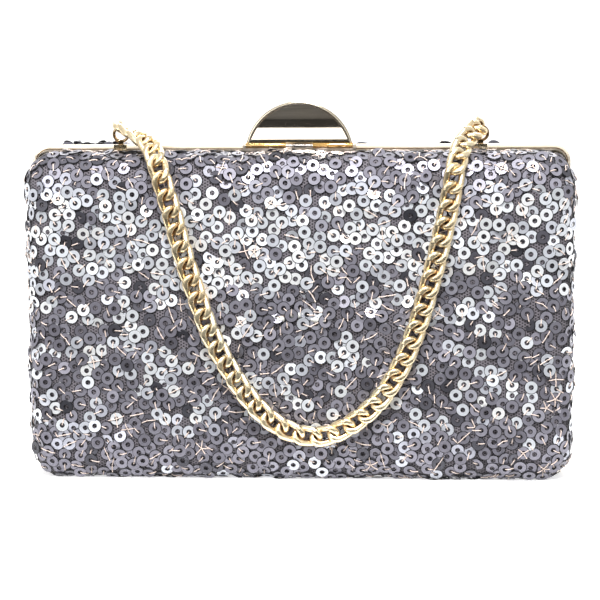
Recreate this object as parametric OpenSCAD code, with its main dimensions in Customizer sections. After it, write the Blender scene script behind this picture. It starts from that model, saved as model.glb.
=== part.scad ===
// Evening bag: a hard-case box clutch. Two padded trays sit in light metal frames that
// meet at mid-depth, hinge at the bottom and latch at the top. A curb chain hangs from
// two loops on the front frame.
// X runs along the width, -Y is the front, +Z is up, and the origin is the middle of the base.

/* [Frame] */
// Width of the metal frames
frame_w = 200; // [170:1:220]
// Height of the top of the frames above the table
frame_top = 123; // [100:1:140]
// Height of the bottom edge of the frames, which is also the height of the hinge axis
frame_low = 1.6; // [1.5:0.1:3]
// Outer corner radius of the frames
corner_r = 6; // [6:0.5:14]
// Depth of one frame
rail_depth = 5; // [4:0.25:7]
// Thickness of the frame's outer band
band = 1.2; // [0.8:0.1:1.6]
// Thickness of the frame's top rail, which carries the clasp and the chain
top_rail = 2; // [1.2:0.1:2.2]
// Width of the flange that the shell is glued to
flange_w = 4.5; // [3.5:0.25:6]
// Gap between the two frames when the bag is closed
seam = 0.3; // [0.2:0.05:0.6]

/* [Trays] */
// Depth of one half, at the middle of its crowned face
half_depth = 25; // [22:0.5:32]
// Thickness of the moulded shell
shell_t = 1.6; // [1.2:0.1:2.4]
// Thickness of the sequinned cover and its backing
cover_t = 0.9; // [0.6:0.1:1.4]
// Thickness of the lining
lining_t = 0.6; // [0.4:0.1:1]

/* [Clasp] */
// Width of the half-moon thumb piece
tab_w = 39.6; // [30:0.2:46]
// Height of the half-moon above its pin
tab_h = 16.4; // [12:0.1:18]
// Thickness of the half-moon's plate
tab_t = 1.4; // [1:0.1:2]
// Radius of the raised bead round the half-moon
bead_r = 0.75; // [0.7:0.05:1.2]
// Width of the hook behind the half-moon
hook_w = 12; // [8:1:16]

/* [Hinges] */
// Distance of each hinge from the middle
hinge_x = 60; // [40:1:75]
// Length of each hinge
hinge_len = 14; // [12:1:20]
// Outer radius of the knuckles
knuckle_r = 1.5; // [1.2:0.05:1.6]
// Radius of the hinge pins
hinge_pin_r = 0.7; // [0.5:0.05:0.8]

/* [Chain] */
// Distance of each chain loop from the middle
loop_x = 67; // [67:1:67]
// Diameter of the chain's wire
wire_d = 1.9; // [1.6:0.1:1.9]
// Width of a link
link_w = 7.3; // [7:0.1:7.6]
// Length of a link
link_len = 9.8; // [9.6:0.1:9.9]

/* [Hidden] */
$fn = 48;

eps = 0.02;
glue = 0.05;                       // film between glued layers
hinge_z = frame_low;
half_w = frame_w / 2;
mate_y = -seam / 2;                // mating face of the front frame
rail_y = mate_y - rail_depth;      // front edge of the front frame
flange_t = 1.2;

// A tray's surface is a list of stations, each [y, half width, bottom, top, corner radius].
// The stations run from the mouth towards the face, then across the crowned face.
side = half_w - 1.6;
cover_top = frame_top - top_rail - 0.9;
cover_low = frame_low + 1.9;
bulge = 1.9;                       // how far the cover swells beyond its tucked edge
soft_r = corner_r + 5;              // corner radius of the swollen cover
face_y = 0.4 - half_depth;         // where the round edge meets the face
OUTSIDE = [
    [rail_y + 1, side, cover_low, cover_top, corner_r - 2],
    [rail_y - 0.4, side + 0.4, cover_low - 1.2, cover_top + 0.1, corner_r - 1],
    [rail_y - 3, side + bulge * 0.8, 0.25, cover_top + 0.3, soft_r],
    [rail_y - 5, side + bulge, 0, cover_top + 0.5, soft_r],
    [rail_y - 10, side + bulge, 0, cover_top + 0.4, soft_r],
    [rail_y - 14, side + bulge - 1.2, 1.2, cover_top - 1, soft_r],
    [rail_y - 17, side + bulge - 4, 4, cover_top - 4, soft_r],
    [rail_y - 18.7, side + bulge - 8, 8.5, cover_top - 8.5, soft_r],
    [face_y, side + bulge - 14, 15, cover_top - 15, soft_r],
    [face_y - 0.25, side * 0.6, 32, cover_top - 32, soft_r],
    [-half_depth, side * 0.3, 50, cover_top - 50, soft_r]
];
wad_t = 1.9;                       // foam thickness over the face
shell_side = side - 1.5;
shell_low = cover_low + 1.5;
shell_top = cover_top - 1.5;
shell_face = -half_depth + 0.5 + cover_t + wad_t;
SHELL = [
    [mate_y - flange_t - glue, shell_side, shell_low, shell_top, corner_r - 1],
    [rail_y - 8, shell_side, shell_low, shell_top, corner_r - 1],
    [shell_face + 5, shell_side - 0.6, shell_low + 0.6, shell_top - 0.6, corner_r - 1],
    [shell_face + 1.8, shell_side - 2.4, shell_low + 2.4, shell_top - 2.4, corner_r - 1.5],
    [shell_face, shell_side - 6, shell_low + 6, shell_top - 6, corner_r - 1.5]
];

// Chain geometry. The route starts at the left loop's wire and ends at the right one's.
loop_y = mate_y - rail_depth / 2;
loop_wire = 0.5;
loop_half = 2.75;
loop_bend = 2;
loop_rise = 6.9;                   // height of the wire's centre above the frame
ROUTE = [
    [-67, -2.65, 129.9], [-65.3, -8, 129.3], [-60.5, -13, 127.7], [-56, -17.5, 125.6],
    [-52.8, -22, 122.8], [-51, -26, 119.2], [-49.5, -28.3, 115.5], [-47.5, -29, 108.5],
    [-45, -29, 100], [-42.5, -29, 90], [-39.5, -29, 79.5], [-36, -29, 68.5],
    [-32.2, -29, 57.5], [-28.7, -29, 50], [-24.5, -29, 42.5], [-19.8, -29, 35],
    [-13.9, -28.9, 27.7], [-7, -28.8, 22], [0.5, -28.7, 18.7], [8.5, -28.7, 18],
    [16, -28.8, 20.4], [23.3, -28.9, 25.2], [30, -29, 31.7], [35, -29, 39],
    [39, -29, 46.7], [42.4, -29, 55], [45, -29, 62.5], [47.3, -29, 70.5],
    [50.5, -29, 82.5], [53, -29, 93], [55, -29, 102], [56.5, -29, 110],
    [57.3, -28.3, 115], [58.3, -26, 119], [59.5, -22, 122.6], [61.3, -17.5, 125.6],
    [63.8, -13, 127.9], [65.6, -8, 129.4], [67, -2.65, 129.9]
];
steps = 6;                         // curve points between two route points
slack = 0.3;                       // play between one link and the next
hang = wire_d + loop_wire + slack / 2;   // how far an end link reaches past the loop's wire
link_pitch = link_len - 2 * wire_d - slack;

gold = [0.86, 0.68, 0.32];
champagne = [0.87, 0.77, 0.62];
steel = [0.7, 0.68, 0.64];

// ---------- outlines and lofts ----------

// One ring of points in the plane y, a rounded rectangle.
arc_n = 6;
function ring(s) = [
    for (q = [0:3], k = [0:arc_n])
        let (
            a = q * 90 + k * 90 / arc_n,
            cx = (q == 0 || q == 3 ? 1 : -1) * (s[1] - s[4]),
            cz = q < 2 ? s[3] - s[4] : s[2] + s[4]
        )
        [cx + s[4] * cos(a), s[0], cz + s[4] * sin(a)]
];
ring_n = 4 * (arc_n + 1);

// Quads between ring i and ring j of a loft.
function band_faces(i, j) = [
    for (k = [0:ring_n - 1])
        let (m = (k + 1) % ring_n)
        [i * ring_n + k, j * ring_n + k, j * ring_n + m, i * ring_n + m]
];

// A cup: outer stations from the mouth to the face, then inner stations from the face back.
module cup(outer, inner) {
    rings = concat(outer, [for (i = [len(inner) - 1:-1:0]) inner[i]]);
    points = [for (s = rings) each ring(s)];
    last_out = len(outer) - 1;
    walls = [for (i = [0:len(rings) - 2]) if (i != last_out) each band_faces(i, i + 1)];
    rim = band_faces(len(rings) - 1, 0);
    face_out = [for (k = [ring_n - 1:-1:0]) last_out * ring_n + k];
    face_in = [for (k = [0:ring_n - 1]) (last_out + 1) * ring_n + k];
    polyhedron(points, concat(walls, rim, [face_out, face_in]), convexity = 6);
}

// Stations moved inwards by t, with the mouth left where it is.
function inset(stations, t) = [
    for (i = [0:len(stations) - 1])
        let (s = stations[i])
        [i == 0 ? s[0] : s[0] + (s[0] < -half_depth / 2 ? t : 0),
         s[1] - t, s[2] + t, s[3] - t, max(s[4] - t, 2)]
];

module rounded_outline(inset_by, top_by = undef) {
    w = half_w - inset_by;
    low = frame_low + inset_by;
    top = frame_top - (is_undef(top_by) ? inset_by : top_by);
    r = max(corner_r - inset_by, 2);
    union() {
        translate([-w + r, low])
            square([2 * (w - r), top - low]);
        translate([-w, low + r])
            square([2 * w, top - low - 2 * r]);
        for (x = [-w + r, w - r], z = [low + r, top - r])
            translate([x, z])
                circle(r);
    }
}

// Turns a drawing in the XZ plane into a slab from y0 to y1.
module slab(y0, y1) {
    translate([0, y1, 0])
        rotate([90, 0, 0])
            linear_extrude(y1 - y0)
                children();
}

module box(x0, x1, y0, y1, z0, z1) {
    translate([x0, y0, z0])
        cube([x1 - x0, y1 - y0, z1 - z0]);
}

module rod_x(x0, x1, y, z, r) {
    translate([x0, y, z])
        rotate([0, 90, 0])
            cylinder(h = x1 - x0, r = r);
}

module to_rear() {
    mirror([0, 1, 0])
        children();
}

// ---------- frames ----------

hinge_notch_y = 2;
hinge_notch_z = 3.9;
rivet_r = 0.6;
rivet_gap = 0.02;
rivet_y = -3;
rivet_head_r = 0.9;
catch_rivet_y = 3.5;
latch_rivet_x = 14;
catch_rivet_x = 5.5;

module hinge_rivet_places() {
    for (side_sign = [-1, 1], off = [-4.5, 4.5])
        translate([side_sign * hinge_x + off, rivet_y, 0])
            children();
}

// A channel frame: an outer band and a flange at the mating face.
module frame_half() {
    difference() {
        union() {
            slab(rail_y, mate_y)
                difference() {
                    rounded_outline(0);
                    rounded_outline(band, top_rail);
                }
            slab(mate_y - flange_t, mate_y)
                difference() {
                    rounded_outline(band / 2);
                    rounded_outline(flange_w);
                }
        }
        for (s = [-1, 1])
            box(s * hinge_x - hinge_len / 2 - 0.2, s * hinge_x + hinge_len / 2 + 0.2,
                -hinge_notch_y, 1, 0, hinge_notch_z);
        hinge_rivet_places()
            cylinder(h = 4, r = rivet_r);
    }
}

module front_frame() {
    color(champagne)
        difference() {
            frame_half();
            for (x = [-latch_rivet_x, latch_rivet_x])
                translate([x, mate_y - 2.2, frame_top - 3])
                    cylinder(h = 5, r = rivet_r);
        }
}

module rear_frame() {
    color(champagne)
        difference() {
            to_rear() frame_half();
            for (x = [-catch_rivet_x, catch_rivet_x])
                translate([x, catch_rivet_y, frame_top - 3])
                    cylinder(h = 5, r = rivet_r);
        }
}

// ---------- trays ----------

SHELL_IN = inset(SHELL, shell_t);
LINING_OUT = inset(SHELL, shell_t + glue);
LINING_IN = inset(SHELL, shell_t + glue + lining_t);
COVER_IN = inset(OUTSIDE, cover_t);
PADDING_OUT = inset(OUTSIDE, cover_t + glue);
PADDING_IN = [
    for (s = inset(SHELL, -glue))
        [min(s[0], OUTSIDE[0][0]), s[1], s[2], s[3], s[4]]
];

module cover_half() {
    cup(OUTSIDE, COVER_IN);
}

module padding_half() {
    cup(PADDING_OUT, PADDING_IN);
}

module shell_half() {
    cup(SHELL, SHELL_IN);
}

module lining_half() {
    cup(LINING_OUT, LINING_IN);
}

module front_cover() {
    color([0.5, 0.49, 0.54]) cover_half();
}

module rear_cover() {
    color([0.5, 0.49, 0.54]) to_rear() cover_half();
}

module front_padding() {
    color([0.9, 0.9, 0.88]) padding_half();
}

module rear_padding() {
    color([0.9, 0.9, 0.88]) to_rear() padding_half();
}

module front_shell() {
    color([0.2, 0.2, 0.22]) shell_half();
}

module rear_shell() {
    color([0.2, 0.2, 0.22]) to_rear() shell_half();
}

module front_lining() {
    color([0.62, 0.6, 0.64]) lining_half();
}

module rear_lining() {
    color([0.62, 0.6, 0.64]) to_rear() lining_half();
}

// ---------- hinges ----------

leaf_t = 0.45;
leaf_edge_y = -4.1;
leaf_z = frame_low + band + eps;
knuckle_n = 5;
knuckle_len = hinge_len / knuckle_n;
knuckle_gap = 0.06;
front_bore_r = hinge_pin_r + 0.05;
rear_bore_r = hinge_pin_r + 0.02;

// A leaf for the front frame. Its knuckles are those with the given parity.
module leaf(x, parity, bore_r) {
    difference() {
        union() {
            box(x - hinge_len / 2, x + hinge_len / 2, leaf_edge_y, -1.7, leaf_z, leaf_z + leaf_t);
            for (k = [0:knuckle_n - 1])
                if (k % 2 == parity) {
                    x0 = x - hinge_len / 2 + k * knuckle_len + knuckle_gap;
                    x1 = x0 + knuckle_len - 2 * knuckle_gap;
                    rod_x(x0, x1, 0, hinge_z, knuckle_r);
                    box(x0, x1, -1.75, -0.2, hinge_z + 0.2, leaf_z + leaf_t);
                }
        }
        rod_x(x - hinge_len, x + hinge_len, 0, hinge_z, bore_r);
        hinge_rivet_places()
            cylinder(h = 5, r = rivet_r);
    }
}

module hinge_leaf_front_left() {
    color(gold) leaf(-hinge_x, 1, front_bore_r);
}

module hinge_leaf_front_right() {
    color(gold) leaf(hinge_x, 1, front_bore_r);
}

module hinge_leaf_rear_left() {
    color(gold) to_rear() leaf(-hinge_x, 0, rear_bore_r);
}

module hinge_leaf_rear_right() {
    color(gold) to_rear() leaf(hinge_x, 0, rear_bore_r);
}

module hinge_pin(x) {
    color(steel)
        rod_x(x - hinge_len / 2, x + hinge_len / 2, 0, hinge_z, hinge_pin_r);
}

module hinge_pin_left() {
    hinge_pin(-hinge_x);
}

module hinge_pin_right() {
    hinge_pin(hinge_x);
}

module hinge_rivets_half() {
    hinge_rivet_places() {
        translate([0, 0, frame_low - 0.25])
            cylinder(h = 0.25, r = rivet_head_r);
        translate([0, 0, frame_low - 0.1])
            cylinder(h = band + leaf_t + 0.1, r = rivet_r - rivet_gap);
    }
}

module hinge_rivets_front() {
    color(gold) hinge_rivets_half();
}

module hinge_rivets_rear() {
    color(gold) to_rear() hinge_rivets_half();
}

// ---------- clasp ----------

pin_y = rail_y - 1.35;             // the latch pin runs in front of the frame
pin_z = frame_top + 0.1;
latch_pin_r = 0.4;
barrel_r = 1;
barrel_half = tab_w / 2;
spring_gap = 5;                    // half the window in the barrel, where the spring sits
lug_t = 1;
strip_t = 0.3;
nose_y = 2.4;
nose_t = 1;
nose_z = frame_top + 1.65;
arm_z = frame_top + 2.4;
arm_t = 0.8;

module latch_bracket() {
    end_x = barrel_half + 0.2;
    color(champagne)
        difference() {
            union() {
                box(-end_x - lug_t, end_x + lug_t, rail_y - strip_t, rail_y,
                    frame_top - 1.6, frame_top + 0.4);
                box(-end_x - lug_t, end_x + lug_t, rail_y - strip_t, mate_y - 0.4,
                    frame_top, frame_top + 0.4);
                for (x = [-end_x - lug_t, end_x])
                    box(x, x + lug_t, pin_y - 0.9, rail_y, pin_z - 0.9, pin_z + 0.9);
            }
            rod_x(-end_x - 2, end_x + 2, pin_y, pin_z, latch_pin_r + 0.02);
            for (x = [-latch_rivet_x, latch_rivet_x])
                translate([x, mate_y - 2.2, frame_top - 1])
                    cylinder(h = 4, r = rivet_r);
        }
}

module latch_rivets() {
    color(gold)
        for (x = [-latch_rivet_x, latch_rivet_x])
            translate([x, mate_y - 2.2, 0]) {
                translate([0, 0, frame_top - top_rail])
                    cylinder(h = top_rail + 0.5, r = rivet_r - rivet_gap);
                translate([0, 0, frame_top + 0.4])
                    cylinder(h = 0.35, r = rivet_head_r);
            }
}

module latch_pin() {
    color(steel)
        rod_x(-barrel_half - lug_t - 0.3, barrel_half + lug_t + 0.3, pin_y, pin_z, latch_pin_r);
}

// A wound torsion spring round the pin, between the two halves of the barrel.
spring_wire = 0.15;
spring_r = 0.75;
spring_turns = 7;
spring_half = 2.2;
spring_sides = 6;
turn_steps = 10;
spring_steps = turn_steps * spring_turns;
function coil_point(i, k) =
    let (
        a = i * 360 / turn_steps,
        b = k * 360 / spring_sides,
        r = spring_r + spring_wire * cos(b)
    )
    [-spring_half + 2 * spring_half * i / spring_steps + spring_wire * sin(b),
     pin_y + r * cos(a), pin_z + r * sin(a)];

module latch_spring() {
    points = [for (i = [0:spring_steps], k = [0:spring_sides - 1]) coil_point(i, k)];
    walls = [
        for (i = [0:spring_steps - 1], k = [0:spring_sides - 1])
            let (a = i * spring_sides, m = (k + 1) % spring_sides)
            [a + k, a + m, a + spring_sides + m, a + spring_sides + k]
    ];
    start = [for (k = [spring_sides - 1:-1:0]) k];
    end = [for (k = [0:spring_sides - 1]) spring_steps * spring_sides + k];
    color(steel)
        polyhedron(points, concat(walls, [start, end]), convexity = 10);
}

// The half-moon: a scooped plate inside a round bead, on a barrel that turns on the pin.
tab_circle_r = (pow(tab_w / 2, 2) + pow(tab_h, 2)) / (2 * tab_h);
tab_centre_z = pin_z + tab_h - tab_circle_r;
scoop_r = 34;
scoop_depth = 0.8;

module latch_tab() {
    color(champagne)
        difference() {
            union() {
                difference() {
                    intersection() {
                        translate([0, pin_y + tab_t / 2, tab_centre_z])
                            rotate([90, 0, 0])
                                cylinder(h = tab_t, r = tab_circle_r - bead_r, $fn = 180);
                        box(-tab_w, tab_w, pin_y - 3, pin_y + 3, pin_z, pin_z + 2 * tab_h);
                    }
                    rod_x(-tab_w, tab_w, pin_y - tab_t / 2 - scoop_r + scoop_depth,
                          pin_z + tab_h / 2 + 0.5, scoop_r, $fn = 360);
                }
                intersection() {
                    translate([0, pin_y, tab_centre_z])
                        rotate([90, 0, 0])
                            rotate_extrude($fn = 180)
                                translate([tab_circle_r - bead_r, 0])
                                    circle(bead_r);
                    box(-tab_w, tab_w, pin_y - 3, pin_y + 3, pin_z, pin_z + 2 * tab_h);
                }
                for (s = [-1, 1])
                    rod_x(s > 0 ? spring_gap : -barrel_half, s > 0 ? barrel_half : -spring_gap,
                          pin_y, pin_z, barrel_r);
            }
            rod_x(-tab_w, tab_w, pin_y, pin_z, latch_pin_r + 0.06);
            box(-spring_gap, spring_gap, pin_y - 3, pin_y + 3, pin_z - 1, pin_z + 1.3);
        }
}

// The hook: an arm from the back of the half-moon over both frames, with a nose behind the catch.
module latch_hook() {
    x = hook_w / 2;
    plate_y = pin_y + tab_t / 2;
    color(champagne) {
        box(-x, x, plate_y, plate_y + 0.8, arm_z, arm_z + 5);
        box(-x, x, plate_y, nose_y + nose_t, arm_z, arm_z + arm_t);
        box(-x, x, nose_y, nose_y + nose_t, nose_z, arm_z + arm_t);
    }
}

catch_t = 0.3;
catch_w = 16;

module catch_plate() {
    color(champagne)
        difference() {
            union() {
                box(-catch_w / 2, catch_w / 2, -mate_y + 0.75, 4.9, frame_top, frame_top + catch_t);
                box(-catch_w / 2, catch_w / 2, 1.1, 1.9, frame_top, frame_top + 1.3);
            }
            for (x = [-catch_rivet_x, catch_rivet_x])
                translate([x, catch_rivet_y, frame_top - 1])
                    cylinder(h = 4, r = rivet_r);
        }
}

module catch_rivets() {
    color(gold)
        for (x = [-catch_rivet_x, catch_rivet_x])
            translate([x, catch_rivet_y, 0])
                translate([0, 0, frame_top - top_rail])
                    cylinder(h = top_rail + catch_t, r = rivet_r - rivet_gap);
}

// ---------- chain ----------

// A wire arch on a small foot, standing on the front frame. The chain swings on its straight top.
module chain_loop(x) {
    color(champagne)
        translate([x, loop_y, frame_top]) {
            box(-loop_half - loop_wire, loop_half + loop_wire, -2.2, 2.2, 0, 0.5);
            for (s = [-1, 1]) {
                translate([s * loop_half, 0, 0.2])
                    cylinder(h = loop_rise - loop_bend - 0.2, r = loop_wire, $fn = 24);
                translate([s * (loop_half - loop_bend), 0, loop_rise - loop_bend])
                    rotate([90, s > 0 ? 0 : -90, 0])
                        rotate_extrude(angle = 90)
                            translate([loop_bend, 0])
                                circle(loop_wire, $fn = 24);
            }
            rod_x(loop_bend - loop_half, loop_half - loop_bend, 0, loop_rise, loop_wire, $fn = 24);
        }
}

module chain_loop_left() {
    chain_loop(-loop_x);
}

module chain_loop_right() {
    chain_loop(loop_x);
}

// Catmull-Rom curve through the route.
function clamp_index(i) = min(max(i, 0), len(ROUTE) - 1);
function curve(i, t) =
    let (
        a = ROUTE[clamp_index(i - 1)],
        b = ROUTE[i],
        c = ROUTE[clamp_index(i + 1)],
        d = ROUTE[clamp_index(i + 2)]
    )
    0.5 * (2 * b + (c - a) * t + (2 * a - 5 * b + 4 * c - d) * t * t
        + (3 * b - a - 3 * c + d) * t * t * t);
CURVE = concat(
    [for (i = [0:len(ROUTE) - 2], k = [0:steps - 1]) curve(i, k / steps)],
    [ROUTE[len(ROUTE) - 1]]
);
function lengths(i = 0, total = 0) =
    i == len(CURVE) ? []
    : let (here = i == 0 ? 0 : total + norm(CURVE[i] - CURVE[i - 1]))
      concat([here], lengths(i + 1, here));
LENGTHS = lengths();
route_len = LENGTHS[len(LENGTHS) - 1];
function along(s) = [
    for (k = [0:2])
        lookup(s, [for (i = [0:len(CURVE) - 1]) [LENGTHS[i], CURVE[i][k]]])
];
function unit(v) = v / norm(v);

first_link = link_len / 2 - hang;
link_n = 1 + 2 * ceil((route_len - 2 * first_link) / link_pitch / 2);   // odd, so both ends match
pitch = (route_len - 2 * first_link) / (link_n - 1);

// The direction away from the bag: up at the loops, forward on the face.
function outward(p) =
    let (a = 90 * min(max((p[1] + 28) / 24, 0), 1))
    [0, -cos(a), sin(a)];

module link() {
    mid_r = (link_w - wire_d) / 2;
    straight = (link_len - link_w) / 2;
    for (s = [-1, 1]) {
        translate([s * straight, 0, 0])
            rotate([0, 0, s > 0 ? -90 : 90])
                rotate_extrude(angle = 180)
                    translate([mid_r, 0])
                        circle(wire_d / 2, $fn = 24);
        rod_x(-straight, straight, s * mid_r, 0, wire_d / 2, $fn = 24);
    }
}

// Link i lies along the route. Links alternate a quarter turn, and away from
// the loops they roll by 45 degrees, so that they lean both ways.
roll_links = 4;
module chain_link(i) {
    s = first_link + i * pitch;
    p = along(s);
    t = unit(along(s + 1) - along(s - 1));
    n0 = outward(p);
    n = unit(n0 - (n0 * t) * t);
    b = cross(n, t);
    ends = min(i, link_n - 1 - i);
    roll = (i % 2 == 0 ? 90 : 0) - 45 * min(ends / roll_links, 1);
    multmatrix([
        [t[0], b[0], n[0], p[0]],
        [t[1], b[1], n[1], p[1]],
        [t[2], b[2], n[2], p[2]],
        [0, 0, 0, 1]
    ])
        rotate([roll, 0, 0])
            link();
}

module chain_end_link_left() {
    color(gold) chain_link(0);
}

module chain_end_link_right() {
    color(gold) chain_link(link_n - 1);
}

module chain_links() {
    color(gold)
        for (i = [1:link_n - 2])
            chain_link(i);
}

rear_frame();
rear_shell();
rear_padding();
rear_cover();
rear_lining();
catch_plate();
catch_rivets();
hinge_leaf_rear_left();
hinge_leaf_rear_right();
hinge_rivets_rear();
hinge_pin_left();
hinge_pin_right();
front_frame();
front_shell();
front_padding();
front_cover();
front_lining();
hinge_leaf_front_left();
hinge_leaf_front_right();
hinge_rivets_front();
chain_loop_left();
chain_loop_right();
latch_bracket();
latch_rivets();
latch_pin();
latch_spring();
latch_tab();
latch_hook();
chain_end_link_left();
chain_end_link_right();
chain_links();
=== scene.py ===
"""Looks of the evening bag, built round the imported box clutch. Sizes in this file are in
millimetres, as in the CAD model, and MM turns them into metres where a mesh is made."""
import math
import random

import bmesh
import bpy
import mathutils
import numpy as np
from mathutils import Matrix, Vector


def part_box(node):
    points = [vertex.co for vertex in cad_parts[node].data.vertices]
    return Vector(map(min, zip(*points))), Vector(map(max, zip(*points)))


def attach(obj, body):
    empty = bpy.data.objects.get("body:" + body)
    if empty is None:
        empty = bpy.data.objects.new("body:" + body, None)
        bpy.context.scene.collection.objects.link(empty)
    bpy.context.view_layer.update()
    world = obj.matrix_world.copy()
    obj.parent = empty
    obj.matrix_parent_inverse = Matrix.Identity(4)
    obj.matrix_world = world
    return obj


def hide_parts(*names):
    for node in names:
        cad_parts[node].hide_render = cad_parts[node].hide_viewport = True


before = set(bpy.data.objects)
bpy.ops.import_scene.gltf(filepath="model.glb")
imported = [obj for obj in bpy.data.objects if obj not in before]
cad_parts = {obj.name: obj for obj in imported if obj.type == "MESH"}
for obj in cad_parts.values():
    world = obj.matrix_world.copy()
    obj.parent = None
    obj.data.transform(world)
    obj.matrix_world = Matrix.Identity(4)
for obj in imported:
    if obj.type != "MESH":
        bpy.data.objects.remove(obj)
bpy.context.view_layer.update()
MM = 0.001
UP = np.array([0.0, 0.0, 1.0])

# ---------- sizes taken from the frame ----------

frame_lo, frame_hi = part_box("front_frame")
cover_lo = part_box("front_cover")[0]
HALF_W = frame_hi[0] / MM
FRAME_TOP = frame_hi[2] / MM
FRAME_LOW = frame_lo[2] / MM
RAIL_Y = frame_lo[1] / MM
MATE_Y = frame_hi[1] / MM
HALF_DEPTH = -cover_lo[1] / MM
CORNER_R = 6.0
TOP_RAIL = 2.0
FLANGE_T = 1.2
COVER_T = 0.9
SHELL_T = 1.6
GLUE = 0.05

# The stations of a tray's surface, each [y, half width, bottom, top, corner radius], as in
# part.scad, but with the underside raised so that the sequins on it stay above the table.
SIDE = HALF_W - 1.6
COVER_TOP = FRAME_TOP - TOP_RAIL - 0.9
COVER_LOW = FRAME_LOW + 1.9
BULGE = 1.9
SOFT_R = CORNER_R + 5
FACE_Y = 0.4 - HALF_DEPTH
LIFT = 0.5
COVER_STATIONS = [
    [RAIL_Y + 1, SIDE, COVER_LOW, COVER_TOP, CORNER_R - 2],
    [RAIL_Y - 0.4, SIDE + 0.4, COVER_LOW - 1.2, COVER_TOP + 0.1, CORNER_R - 1],
    [RAIL_Y - 3, SIDE + BULGE * 0.8, 0.25 + LIFT, COVER_TOP + 0.3, SOFT_R],
    [RAIL_Y - 5, SIDE + BULGE, LIFT, COVER_TOP + 0.5, SOFT_R],
    [RAIL_Y - 10, SIDE + BULGE, LIFT, COVER_TOP + 0.4, SOFT_R],
    [RAIL_Y - 14, SIDE + BULGE - 1.2, 1.2, COVER_TOP - 1, SOFT_R],
    [RAIL_Y - 17, SIDE + BULGE - 4, 4, COVER_TOP - 4, SOFT_R],
    [RAIL_Y - 18.7, SIDE + BULGE - 8, 8.5, COVER_TOP - 8.5, SOFT_R],
    [FACE_Y, SIDE + BULGE - 14, 15, COVER_TOP - 15, SOFT_R],
    [FACE_Y - 0.25, SIDE * 0.6, 32, COVER_TOP - 32, SOFT_R],
    [-HALF_DEPTH, SIDE * 0.3, 50, COVER_TOP - 50, SOFT_R - 4],
    [-HALF_DEPTH, SIDE * 0.12, 57, COVER_TOP - 57, 3],
    [-HALF_DEPTH, 0.8, 61.3, 62.3, 0.4],
]
SHELL_FACE = -HALF_DEPTH + 0.5 + COVER_T + 1.9
SHELL_STATIONS = [
    [MATE_Y - FLANGE_T - GLUE, SIDE - 1.5, COVER_LOW + 1.5, COVER_TOP - 1.5, CORNER_R - 1],
    [RAIL_Y - 8, SIDE - 1.5, COVER_LOW + 1.5, COVER_TOP - 1.5, CORNER_R - 1],
    [SHELL_FACE + 5, SIDE - 2.1, COVER_LOW + 2.1, COVER_TOP - 2.1, CORNER_R - 1],
    [SHELL_FACE + 1.8, SIDE - 3.9, COVER_LOW + 3.9, COVER_TOP - 3.9, CORNER_R - 1.5],
    [SHELL_FACE, SIDE - 7.5, COVER_LOW + 7.5, COVER_TOP - 7.5, CORNER_R - 1.5],
]


# ---------- mesh helpers ----------

def mesh_piece(name, verts, faces, material, smooth=True):
    """A new mesh object from points in millimetres."""
    mesh = bpy.data.meshes.new(name)
    mesh.from_pydata((np.asarray(verts) * MM).tolist(), [], [list(f) for f in faces])
    mesh.materials.append(material)
    mesh.polygons.foreach_set("use_smooth", [smooth] * len(mesh.polygons))
    mesh.update()
    piece = bpy.data.objects.new(name, mesh)
    bpy.context.scene.collection.objects.link(piece)
    return piece


def smooth_by_angle(piece, degrees=35):
    """Smooth shading that keeps edges sharper than an angle."""
    bpy.ops.object.select_all(action="DESELECT")
    piece.select_set(True)
    bpy.context.view_layer.objects.active = piece
    bpy.ops.object.shade_smooth_by_angle(angle=math.radians(degrees))


def add_attribute(piece, name, domain, values):
    """Stores a number for each point or face, for the material to read."""
    attribute = piece.data.attributes.new(name, "FLOAT", domain)
    attribute.data.foreach_set("value", np.asarray(values, dtype=np.float32))


def spline(points, steps):
    """A Catmull-Rom curve through the points, with that many steps between two of them."""
    p = np.asarray(points, dtype=float)
    out = []
    for i in range(len(p) - 1):
        a, b = p[max(i - 1, 0)], p[i]
        c, d = p[i + 1], p[min(i + 2, len(p) - 1)]
        for k in range(steps):
            t = k / steps
            out.append(0.5 * (2 * b + (c - a) * t + (2 * a - 5 * b + 4 * c - d) * t * t
                              + (3 * b - a - 3 * c + d) * t ** 3))
    out.append(p[-1])
    return np.array(out)


def unit(v):
    """Vectors made one long."""
    return v / np.linalg.norm(v, axis=-1, keepdims=True)


def clamp(value, low, high):
    """A number kept between two limits."""
    return min(max(value, low), high)


def tube(path, radius, sides, closed=False):
    """Points and faces of a round tube along a path, with flat ends unless it is closed."""
    path = np.asarray(path, dtype=float)
    n = len(path)
    if closed:
        tangents = unit(np.roll(path, -1, 0) - np.roll(path, 1, 0))
    else:
        tangents = unit(np.gradient(path, axis=0))
    guide = UP if abs(tangents[0] @ UP) < 0.9 else np.array([1.0, 0.0, 0.0])
    side = unit(np.cross(tangents[0], guide))
    verts = []
    for i in range(n):
        side = unit(side - (side @ tangents[i]) * tangents[i])
        other = np.cross(tangents[i], side)
        for k in range(sides):
            a = 2 * math.pi * k / sides
            verts.append(path[i] + radius * (math.cos(a) * side + math.sin(a) * other))
    faces = []
    for i in range(n if closed else n - 1):
        j = (i + 1) % n
        for k in range(sides):
            m = (k + 1) % sides
            faces.append((i * sides + k, j * sides + k, j * sides + m, i * sides + m))
    if not closed:
        faces.append(tuple(reversed(range(sides))))
        faces.append(tuple((n - 1) * sides + k for k in range(sides)))
    return verts, faces


def join(parts):
    """Joins several (points, faces) into one."""
    verts, faces = [], []
    for v, f in parts:
        base = len(verts)
        verts.extend(v)
        faces.extend(tuple(base + i for i in face) for face in f)
    return verts, faces


# ---------- trays as lofts ----------

RING_N = 288
ARC_STEPS = 12


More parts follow.
